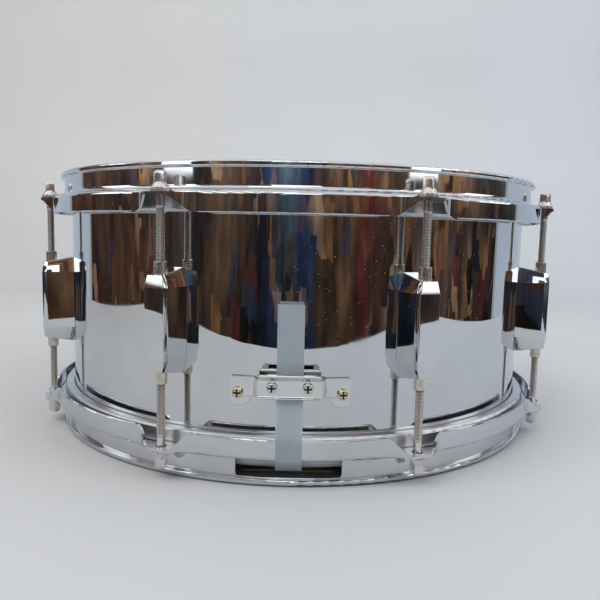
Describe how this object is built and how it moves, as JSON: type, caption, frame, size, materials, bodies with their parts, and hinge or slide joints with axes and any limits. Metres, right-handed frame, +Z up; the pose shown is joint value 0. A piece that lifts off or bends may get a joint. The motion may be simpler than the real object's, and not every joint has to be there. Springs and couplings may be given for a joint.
{
  "type": "snare drum",
  "caption": "Metal-shelled snare drum with triple-flanged hoops, double-ended lugs, key-headed tension rods, butt plate with strap, snare wires and a lever throw-off.",
  "frame": {"origin": "on the drum's axis at the plane of the lower rim, so the drum stands on z = 0", "axes": "+Z up along the drum's axis; -Y towards the butt plate; +Y towards the throw-off"},
  "size_m": [0.38, 0.3937, 0.1813],
  "materials": {
    "chrome_shell": "mirror chrome over steel",
    "chrome_hoop": "mirror chrome over pressed steel",
    "chrome_lug": "mirror chrome over die-cast zinc",
    "nickel_rod": "dull nickel plate, threaded",
    "nickel_nut": "warm dull nickel plate",
    "steel_washer": "plain plated steel",
    "nylon_tube": "natural nylon",
    "zinc_screw": "zinc plated",
    "brass_screw": "yellow passivated, slightly worn",
    "chrome_screw": "chromed pan head",
    "chrome_butt": "chrome over pressed steel",
    "chrome_throwoff": "chrome over die-cast zinc",
    "steel_pin": "turned steel",
    "chrome_grommet": "chromed eyelet",
    "coated_film": "white coated polyester film",
    "clear_film": "hazy clear polyester film",
    "aluminium_hoop": "satin aluminium",
    "plastic_strap": "translucent bluish plastic strip",
    "wire_steel": "coiled steel wire",
    "end_plate_steel": "plated steel strip"
  },
  "bodies": {
    "shell_assembly": {"shell": "chrome_shell", "vent_grommet": "chrome_grommet", "lug_casing_1": "chrome_lug", "lug_casing_2": "chrome_lug", "lug_casing_3": "chrome_lug", "lug_casing_4": "chrome_lug", "lug_casing_5": "chrome_lug", "lug_casing_6": "chrome_lug", "lug_casing_7": "chrome_lug", "lug_casing_8": "chrome_lug", "lug_swivel_nuts": "nickel_nut", "lug_insert_tubes": "nylon_tube", "lug_mount_screws": "zinc_screw", "lug_screw_washers": "steel_washer", "butt_plate": "chrome_butt", "butt_clamp_plate": "chrome_butt", "butt_clamp_screws": "chrome_screw", "butt_mount_screws": "brass_screw", "butt_screw_nuts": "zinc_screw", "butt_screw_washers": "steel_washer", "throwoff_base": "chrome_throwoff", "throwoff_pivot_pins": "steel_pin", "throwoff_mount_screws": "zinc_screw", "throwoff_screw_washers": "steel_washer"},
    "top_hoop_assembly": {"top_hoop": "chrome_hoop", "batter_head_film": "coated_film", "batter_flesh_hoop": "aluminium_hoop", "top_rod_washers": "steel_washer"},
    "bottom_hoop_assembly": {"bottom_hoop": "chrome_hoop", "snare_head_film": "clear_film", "snare_flesh_hoop": "aluminium_hoop", "bottom_rod_washers": "steel_washer", "butt_strap": "plastic_strap"},
    "top_rod_1": {"tension_rod_top_1": "nickel_rod"},
    "top_rod_2": {"tension_rod_top_2": "nickel_rod"},
    "top_rod_3": {"tension_rod_top_3": "nickel_rod"},
    "top_rod_4": {"tension_rod_top_4": "nickel_rod"},
    "top_rod_5": {"tension_rod_top_5": "nickel_rod"},
    "top_rod_6": {"tension_rod_top_6": "nickel_rod"},
    "top_rod_7": {"tension_rod_top_7": "nickel_rod"},
    "top_rod_8": {"tension_rod_top_8": "nickel_rod"},
    "bottom_rod_1": {"tension_rod_bottom_1": "nickel_rod"},
    "bottom_rod_2": {"tension_rod_bottom_2": "nickel_rod"},
    "bottom_rod_3": {"tension_rod_bottom_3": "nickel_rod"},
    "bottom_rod_4": {"tension_rod_bottom_4": "nickel_rod"},
    "bottom_rod_5": {"tension_rod_bottom_5": "nickel_rod"},
    "bottom_rod_6": {"tension_rod_bottom_6": "nickel_rod"},
    "bottom_rod_7": {"tension_rod_bottom_7": "nickel_rod"},
    "bottom_rod_8": {"tension_rod_bottom_8": "nickel_rod"},
    "snare_wire_set": {"snare_wires": "wire_steel", "snare_end_plate_butt": "end_plate_steel", "snare_end_plate_throwoff": "end_plate_steel"},
    "throwoff_strap_body": {"throwoff_strap": "plastic_strap"},
    "throwoff_carriage_body": {"throwoff_carriage": "chrome_throwoff", "throwoff_clamp_plate": "chrome_throwoff", "throwoff_clamp_screws": "chrome_screw"},
    "throwoff_lever_body": {"throwoff_lever": "chrome_throwoff"},
    "throwoff_knob_body": {"throwoff_knob": "chrome_throwoff"}
  },
  "joints": [
    {"name": "top_hoop_lift", "type": "slide", "parent": "shell_assembly", "child": "top_hoop_assembly", "axis": [0, 0, 1], "range_m": [0, 0.006]},
    {"name": "bottom_hoop_lift", "type": "slide", "parent": "shell_assembly", "child": "bottom_hoop_assembly", "axis": [0, 0, -1], "range_m": [0, 0.004]},
    {"name": "top_rod_1_turn", "type": "hinge", "parent": "top_hoop_assembly", "child": "top_rod_1", "pos_m": [-0.1772, -0.0734, 0.1645], "axis": [0, 0, 1], "range_deg": [0, 2705]},
    {"name": "top_rod_2_turn", "type": "hinge", "parent": "top_hoop_assembly", "child": "top_rod_2", "pos_m": [-0.0734, -0.1772, 0.1645], "axis": [0, 0, 1], "range_deg": [0, 2705]},
    {"name": "top_rod_3_turn", "type": "hinge", "parent": "top_hoop_assembly", "child": "top_rod_3", "pos_m": [0.0734, -0.1772, 0.1645], "axis": [0, 0, 1], "range_deg": [0, 2705]},
    {"name": "top_rod_4_turn", "type": "hinge", "parent": "top_hoop_assembly", "child": "top_rod_4", "pos_m": [0.1772, -0.0734, 0.1645], "axis": [0, 0, 1], "range_deg": [0, 2705]},
    {"name": "top_rod_5_turn", "type": "hinge", "parent": "top_hoop_assembly", "child": "top_rod_5", "pos_m": [0.1772, 0.0734, 0.1645], "axis": [0, 0, 1], "range_deg": [0, 2705]},
    {"name": "top_rod_6_turn", "type": "hinge", "parent": "top_hoop_assembly", "child": "top_rod_6", "pos_m": [0.0734, 0.1772, 0.1645], "axis": [0, 0, 1], "range_deg": [0, 2705]},
    {"name": "top_rod_7_turn", "type": "hinge", "parent": "top_hoop_assembly", "child": "top_rod_7", "pos_m": [-0.0734, 0.1772, 0.1645], "axis": [0, 0, 1], "range_deg": [0, 2705]},
    {"name": "top_rod_8_turn", "type": "hinge", "parent": "top_hoop_assembly", "child": "top_rod_8", "pos_m": [-0.1772, 0.0734, 0.1645], "axis": [0, 0, 1], "range_deg": [0, 2705]},
    {"name": "bottom_rod_1_turn", "type": "hinge", "parent": "bottom_hoop_assembly", "child": "bottom_rod_1", "pos_m": [-0.1772, -0.0734, 0.0168], "axis": [0, 0, -1], "range_deg": [0, 1805]},
    {"name": "bottom_rod_2_turn", "type": "hinge", "parent": "bottom_hoop_assembly", "child": "bottom_rod_2", "pos_m": [-0.0734, -0.1772, 0.0168], "axis": [0, 0, -1], "range_deg": [0, 1805]},
    {"name": "bottom_rod_3_turn", "type": "hinge", "parent": "bottom_hoop_assembly", "child": "bottom_rod_3", "pos_m": [0.0734, -0.1772, 0.0168], "axis": [0, 0, -1], "range_deg": [0, 1805]},
    {"name": "bottom_rod_4_turn", "type": "hinge", "parent": "bottom_hoop_assembly", "child": "bottom_rod_4", "pos_m": [0.1772, -0.0734, 0.0168], "axis": [0, 0, -1], "range_deg": [0, 1805]},
    {"name": "bottom_rod_5_turn", "type": "hinge", "parent": "bottom_hoop_assembly", "child": "bottom_rod_5", "pos_m": [0.1772, 0.0734, 0.0168], "axis": [0, 0, -1], "range_deg": [0, 1805]},
    {"name": "bottom_rod_6_turn", "type": "hinge", "parent": "bottom_hoop_assembly", "child": "bottom_rod_6", "pos_m": [0.0734, 0.1772, 0.0168], "axis": [0, 0, -1], "range_deg": [0, 1805]},
    {"name": "bottom_rod_7_turn", "type": "hinge", "parent": "bottom_hoop_assembly", "child": "bottom_rod_7", "pos_m": [-0.0734, 0.1772, 0.0168], "axis": [0, 0, -1], "range_deg": [0, 1805]},
    {"name": "bottom_rod_8_turn", "type": "hinge", "parent": "bottom_hoop_assembly", "child": "bottom_rod_8", "pos_m": [-0.1772, 0.0734, 0.0168], "axis": [0, 0, -1], "range_deg": [0, 1805]},
    {"name": "throwoff_lever_swing", "type": "hinge", "parent": "shell_assembly", "child": "throwoff_lever_body", "pos_m": [0, 0.186, 0.09], "axis": [-1, 0, 0], "range_deg": [0, 95]},
    {"name": "carriage_drop", "type": "slide", "parent": "shell_assembly", "child": "throwoff_carriage_body", "axis": [0, 0, -1], "range_m": [0, 0.004]},
    {"name": "strap_drop", "type": "slide", "parent": "bottom_hoop_assembly", "child": "throwoff_strap_body", "axis": [0, 0, -1], "range_m": [0, 0.004]},
    {"name": "snare_wire_swing", "type": "hinge", "parent": "bottom_hoop_assembly", "child": "snare_wire_set", "pos_m": [0, -0.168, 0.0045], "axis": [-1, 0, 0], "range_deg": [0, 0.7]},
    {"name": "tension_knob_turn", "type": "hinge", "parent": "shell_assembly", "child": "throwoff_knob_body", "pos_m": [0, 0.1853, 0.105], "axis": [0, 0, 1], "continuous": true}
  ],
  "couplings": [
    {"joint": "top_rod_1_turn", "follows": "top_hoop_lift", "rad_per_m": 7854},
    {"joint": "top_rod_2_turn", "follows": "top_hoop_lift", "rad_per_m": 7854},
    {"joint": "top_rod_3_turn", "follows": "top_hoop_lift", "rad_per_m": 7854},
    {"joint": "top_rod_4_turn", "follows": "top_hoop_lift", "rad_per_m": 7854},
    {"joint": "top_rod_5_turn", "follows": "top_hoop_lift", "rad_per_m": 7854},
    {"joint": "top_rod_6_turn", "follows": "top_hoop_lift", "rad_per_m": 7854},
    {"joint": "top_rod_7_turn", "follows": "top_hoop_lift", "rad_per_m": 7854},
    {"joint": "top_rod_8_turn", "follows": "top_hoop_lift", "rad_per_m": 7854},
    {"joint": "bottom_rod_1_turn", "follows": "bottom_hoop_lift", "rad_per_m": 7854},
    {"joint": "bottom_rod_2_turn", "follows": "bottom_hoop_lift", "rad_per_m": 7854},
    {"joint": "bottom_rod_3_turn", "follows": "bottom_hoop_lift", "rad_per_m": 7854},
    {"joint": "bottom_rod_4_turn", "follows": "bottom_hoop_lift", "rad_per_m": 7854},
    {"joint": "bottom_rod_5_turn", "follows": "bottom_hoop_lift", "rad_per_m": 7854},
    {"joint": "bottom_rod_6_turn", "follows": "bottom_hoop_lift", "rad_per_m": 7854},
    {"joint": "bottom_rod_7_turn", "follows": "bottom_hoop_lift", "rad_per_m": 7854},
    {"joint": "bottom_rod_8_turn", "follows": "bottom_hoop_lift", "rad_per_m": 7854},
    {"joint": "carriage_drop", "follows": "throwoff_lever_swing", "m_per_rad": 0.0022918},
    {"joint": "strap_drop", "follows": "throwoff_lever_swing", "m_per_rad": 0.0022918},
    {"joint": "snare_wire_swing", "follows": "throwoff_lever_swing", "ratio": 0.0067368}
  ]
}
